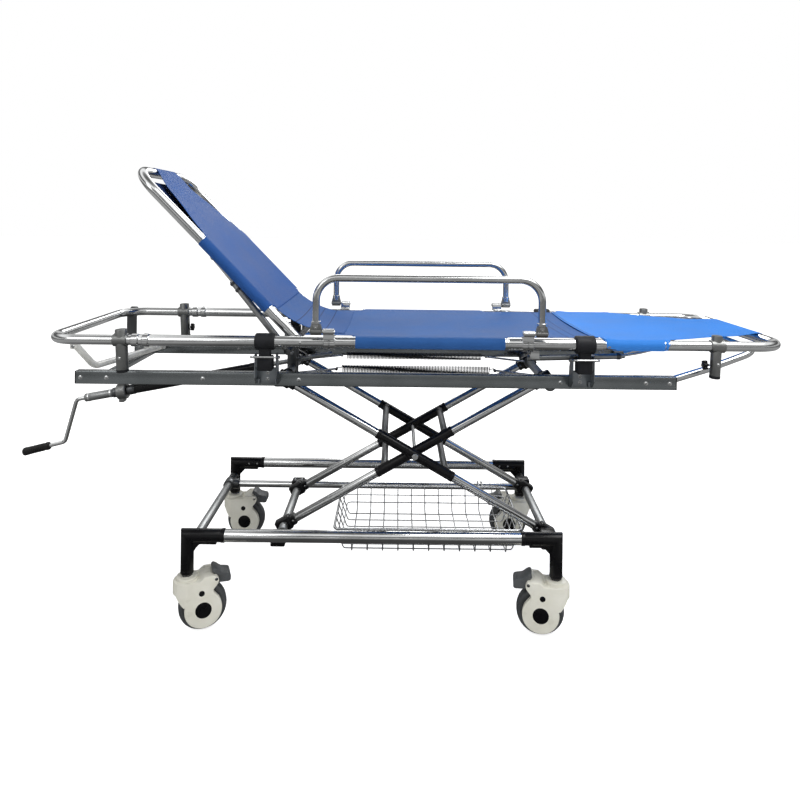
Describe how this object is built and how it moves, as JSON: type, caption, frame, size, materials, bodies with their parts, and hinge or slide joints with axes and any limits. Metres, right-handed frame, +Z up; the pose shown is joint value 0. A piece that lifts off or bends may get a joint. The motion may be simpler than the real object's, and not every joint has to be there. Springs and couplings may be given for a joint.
{
  "type": "stretcher trolley",
  "caption": "Scissor-lift stretcher trolley on braked castors with a lift-off litter, raised backrest, folding guard rails, crank height screw and a wire basket.",
  "frame": {"origin": "middle of the bounding box, on the floor", "axes": "+X towards the foot end along the litter, +Y across to the far side rail, +Z up"},
  "size_m": [2.1899, 0.606, 1.2373],
  "materials": {
    "chrome": "polished",
    "steel": "satin",
    "graphite": "satin",
    "black": "satin",
    "rubber": "matte",
    "tyre": "matte",
    "cream": "satin",
    "fabric": "coated woven"
  },
  "bodies": {
    "chassis": {"side_tube_near": "chrome", "side_tube_far": "chrome", "corner_head_near": "black", "corner_head_far": "black", "corner_foot_near": "black", "corner_foot_far": "black", "head_crossbar": "graphite", "foot_crossbar": "black", "lower_rail_near": "chrome", "lower_rail_far": "chrome", "wire_basket": "steel"},
    "arms_outer": {"outer_arm_near": "chrome", "outer_arm_far": "chrome"},
    "arms_inner": {"inner_arm_near": "chrome", "inner_arm_far": "chrome"},
    "slider": {"lower_slider": "graphite"},
    "carriage": {"upper_carriage": "graphite"},
    "deck": {"spring_near": "steel", "spring_far": "steel", "deck_rail_near": "graphite", "deck_rail_far": "graphite", "deck_foot_cross": "graphite", "deck_head_cross": "graphite", "lead_screw": "black", "deck_head_brace": "cream", "deck_foot_hoop": "chrome", "clamp_bracket_head_near": "steel", "clamp_bracket_head_far": "steel", "clamp_bracket_foot_near": "steel", "clamp_bracket_foot_far": "steel"},
    "crank_arm": {"crank": "chrome"},
    "crank_handle": {"crank_grip": "rubber"},
    "fork_head_near": {"castor_hood_head_near": "cream"},
    "wheel_head_near": {"castor_wheel_head_near": "tyre"},
    "pedal_head_near": {"castor_pedal_head_near": "graphite"},
    "fork_head_far": {"castor_hood_head_far": "cream"},
    "wheel_head_far": {"castor_wheel_head_far": "tyre"},
    "pedal_head_far": {"castor_pedal_head_far": "graphite"},
    "fork_foot_near": {"castor_hood_foot_near": "cream"},
    "wheel_foot_near": {"castor_wheel_foot_near": "tyre"},
    "pedal_foot_near": {"castor_pedal_foot_near": "graphite"},
    "fork_foot_far": {"castor_hood_foot_far": "cream"},
    "wheel_foot_far": {"castor_wheel_foot_far": "tyre"},
    "pedal_foot_far": {"castor_pedal_foot_far": "graphite"},
    "bail_head_near": {"bail_head_near": "chrome"},
    "bail_head_far": {"bail_head_far": "chrome"},
    "bail_foot_near": {"bail_foot_near": "chrome"},
    "bail_foot_far": {"bail_foot_far": "chrome"},
    "litter": {"litter_frame": "chrome", "litter_head_loop": "chrome", "saddle_head_near": "rubber", "saddle_head_far": "rubber", "saddle_foot_near": "rubber", "saddle_foot_far": "rubber", "fabric_seat": "fabric", "fabric_foot": "fabric"},
    "backrest": {"backrest_frame": "chrome", "fabric_back": "fabric"},
    "guard_near": {"guard_rail_near": "chrome"},
    "guard_far": {"guard_rail_far": "chrome"}
  },
  "joints": [
    {"name": "lift_outer", "type": "hinge", "parent": "chassis", "child": "arms_outer", "pos_m": [0.47, 0, 0.218], "axis": [0, 1, 0], "range_deg": [-12.5, 12], "deforming": ["spring_near", "spring_far"]},
    {"name": "lift_inner", "type": "hinge", "parent": "arms_outer", "child": "arms_inner", "pos_m": [0.099, 0, 0.43], "axis": [0, 1, 0], "range_deg": [-25, 26]},
    {"name": "lift_deck", "type": "hinge", "parent": "arms_inner", "child": "deck", "pos_m": [0.47, 0, 0.642], "axis": [0, 1, 0], "range_deg": [-13.5, 13]},
    {"name": "lift_slider", "type": "hinge", "parent": "arms_inner", "child": "slider", "pos_m": [-0.272, 0, 0.218], "axis": [0, 1, 0], "range_deg": [-13.5, 13]},
    {"name": "lift_carriage", "type": "hinge", "parent": "arms_outer", "child": "carriage", "pos_m": [-0.272, 0, 0.642], "axis": [0, 1, 0], "range_deg": [-13, 13.5]},
    {"name": "swivel_head_near", "type": "hinge", "parent": "chassis", "child": "fork_head_near", "pos_m": [-0.507, -0.265, 0.147], "axis": [0, 0, 1], "continuous": true},
    {"name": "roll_head_near", "type": "hinge", "parent": "fork_head_near", "child": "wheel_head_near", "pos_m": [-0.46894, -0.25115, 0.0625], "axis": [-0.342, 0.9397, 0], "continuous": true},
    {"name": "brake_head_near", "type": "hinge", "parent": "fork_head_near", "child": "pedal_head_near", "pos_m": [-0.4384, -0.24003, 0.139], "axis": [-0.342, 0.9397, 0], "range_deg": [0, 18]},
    {"name": "swivel_head_far", "type": "hinge", "parent": "chassis", "child": "fork_head_far", "pos_m": [-0.507, 0.265, 0.147], "axis": [0, 0, 1], "continuous": true},
    {"name": "roll_head_far", "type": "hinge", "parent": "fork_head_far", "child": "wheel_head_far", "pos_m": [-0.4665, 0.265, 0.0625], "axis": [0, 1, 0], "continuous": true},
    {"name": "brake_head_far", "type": "hinge", "parent": "fork_head_far", "child": "pedal_head_far", "pos_m": [-0.434, 0.265, 0.139], "axis": [0, 1, 0], "range_deg": [0, 18]},
    {"name": "swivel_foot_near", "type": "hinge", "parent": "chassis", "child": "fork_foot_near", "pos_m": [0.474, -0.265, 0.147], "axis": [0, 0, 1], "continuous": true},
    {"name": "roll_foot_near", "type": "hinge", "parent": "fork_foot_near", "child": "wheel_foot_near", "pos_m": [0.434, -0.25866, 0.0625], "axis": [-0.1564, -0.9877, 0], "continuous": true},
    {"name": "brake_foot_near", "type": "hinge", "parent": "fork_foot_near", "child": "pedal_foot_near", "pos_m": [0.4019, -0.25358, 0.139], "axis": [-0.1564, -0.9877, 0], "range_deg": [0, 18]},
    {"name": "swivel_foot_far", "type": "hinge", "parent": "chassis", "child": "fork_foot_far", "pos_m": [0.474, 0.265, 0.147], "axis": [0, 0, 1], "continuous": true},
    {"name": "roll_foot_far", "type": "hinge", "parent": "fork_foot_far", "child": "wheel_foot_far", "pos_m": [0.4335, 0.265, 0.0625], "axis": [0, -1, 0], "continuous": true},
    {"name": "brake_foot_far", "type": "hinge", "parent": "fork_foot_far", "child": "pedal_foot_far", "pos_m": [0.401, 0.265, 0.139], "axis": [0, -1, 0], "range_deg": [0, 18]},
    {"name": "crank_turn", "type": "hinge", "parent": "deck", "child": "crank_arm", "pos_m": [-0.791, 0, 0.562], "axis": [0.9821, 0, 0.1882], "continuous": true},
    {"name": "grip_spin", "type": "hinge", "parent": "crank_arm", "child": "crank_handle", "pos_m": [-1.05, 0, 0.3833], "axis": [-0.9682, 0, -0.2501], "continuous": true},
    {"name": "bail_swing_head_near", "type": "hinge", "parent": "deck", "child": "bail_head_near", "pos_m": [-0.306, -0.245, 0.722], "axis": [1, 0, 0], "range_deg": [0, 80]},
    {"name": "bail_swing_head_far", "type": "hinge", "parent": "deck", "child": "bail_head_far", "pos_m": [-0.306, 0.245, 0.722], "axis": [-1, 0, 0], "range_deg": [0, 80]},
    {"name": "bail_swing_foot_near", "type": "hinge", "parent": "deck", "child": "bail_foot_near", "pos_m": [0.544, -0.245, 0.722], "axis": [1, 0, 0], "range_deg": [0, 80]},
    {"name": "bail_swing_foot_far", "type": "hinge", "parent": "deck", "child": "bail_foot_far", "pos_m": [0.544, 0.245, 0.722], "axis": [-1, 0, 0], "range_deg": [0, 80]},
    {"name": "litter_lift_off", "type": "slide", "parent": "deck", "child": "litter", "axis": [0, 0, 1], "range_m": [0, 0.15]},
    {"name": "backrest_tilt", "type": "hinge", "parent": "litter", "child": "backrest", "pos_m": [-0.227, 0, 0.768], "axis": [0, 1, 0], "range_deg": [-42.4, 29.5]},
    {"name": "guard_fold_near", "type": "hinge", "parent": "litter", "child": "guard_near", "pos_m": [0.128, -0.293, 0.8], "axis": [1, 0, 0], "range_deg": [0, 165]},
    {"name": "guard_fold_far", "type": "hinge", "parent": "litter", "child": "guard_far", "pos_m": [0.128, 0.293, 0.8], "axis": [-1, 0, 0], "range_deg": [0, 165]}
  ],
  "couplings": [
    {"joint": "lift_inner", "follows": "lift_outer", "ratio": -2},
    {"joint": "lift_deck", "follows": "lift_outer", "ratio": 1},
    {"joint": "lift_slider", "follows": "lift_outer", "ratio": 1},
    {"joint": "lift_carriage", "follows": "lift_outer", "ratio": -1}
  ]
}
